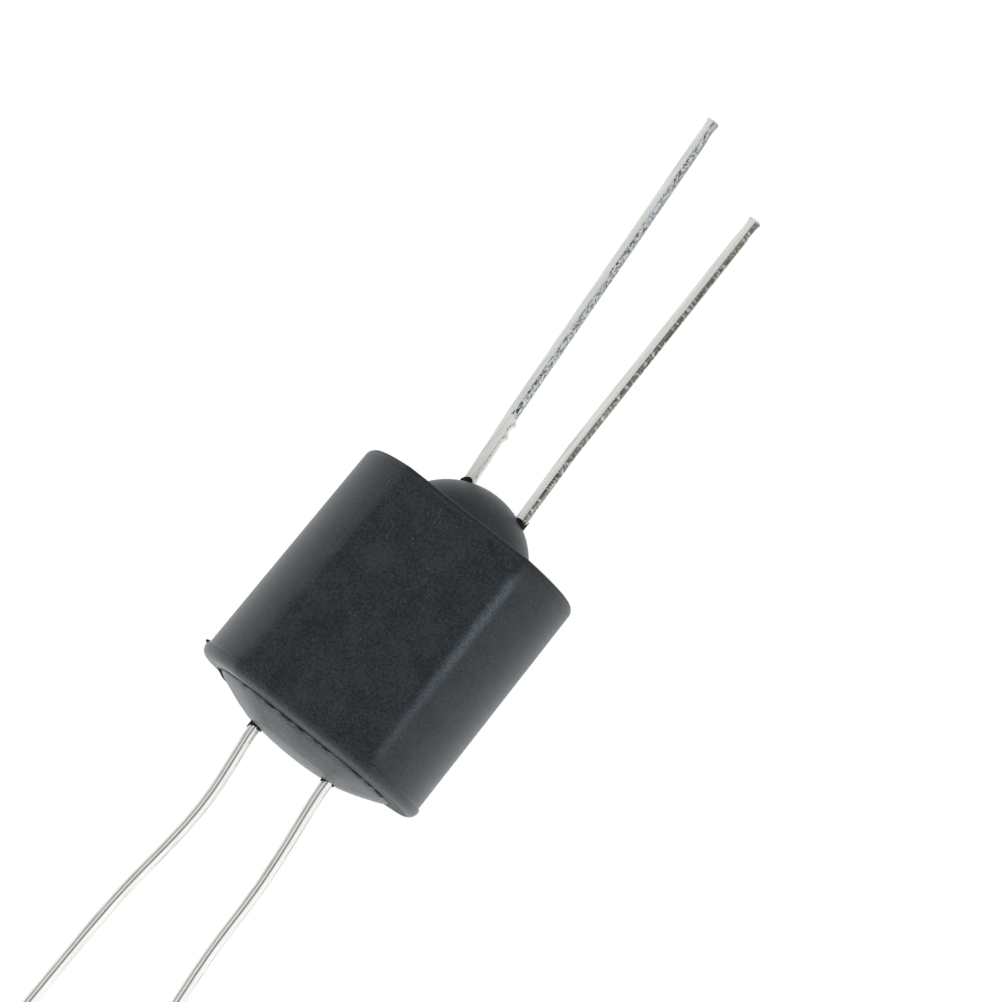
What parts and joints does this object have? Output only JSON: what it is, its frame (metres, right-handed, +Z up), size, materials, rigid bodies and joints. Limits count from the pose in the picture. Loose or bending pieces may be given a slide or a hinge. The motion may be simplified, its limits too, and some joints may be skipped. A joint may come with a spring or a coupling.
{
  "type": "optocoupler",
  "caption": "Through-hole optocoupler: a black moulded case with flat sides and domed ends seals a lamp against a light cell, with square lamp leads and slack round cell wires.",
  "frame": {"origin": "middle of the flat that the case lies on, halfway along the case", "axes": "+X along the case's axis towards the lamp end, +Z up, square to the flats"},
  "size_m": [0.0469, 0.0102, 0.0081],
  "materials": {
    "case_rubber": "matte",
    "plug_rubber": "matte",
    "tinned_lead": "satin",
    "tinned_wire": "satin",
    "clear_resin": "gloss",
    "chip": "satin",
    "bond_wire": "gloss",
    "white_ceramic": "matte",
    "sensitive_film": "matte",
    "metal_film": "satin",
    "silver_paste": "matte",
    "clear_coat": "gloss"
  },
  "bodies": {
    "root": {"case_body": "case_rubber", "end_plug": "plug_rubber", "led_lens": "clear_resin", "led_anode_lead": "tinned_lead", "led_cathode_lead": "tinned_lead", "led_chip": "chip", "led_bond_wire": "bond_wire", "cell_disc": "white_ceramic", "cell_film": "sensitive_film", "cell_electrode_a": "metal_film", "cell_electrode_b": "metal_film", "cell_joint_a": "silver_paste", "cell_joint_b": "silver_paste", "cell_coating": "clear_coat", "cell_wire_a": "tinned_wire", "cell_wire_b": "tinned_wire"}
  },
  "joints": []
}
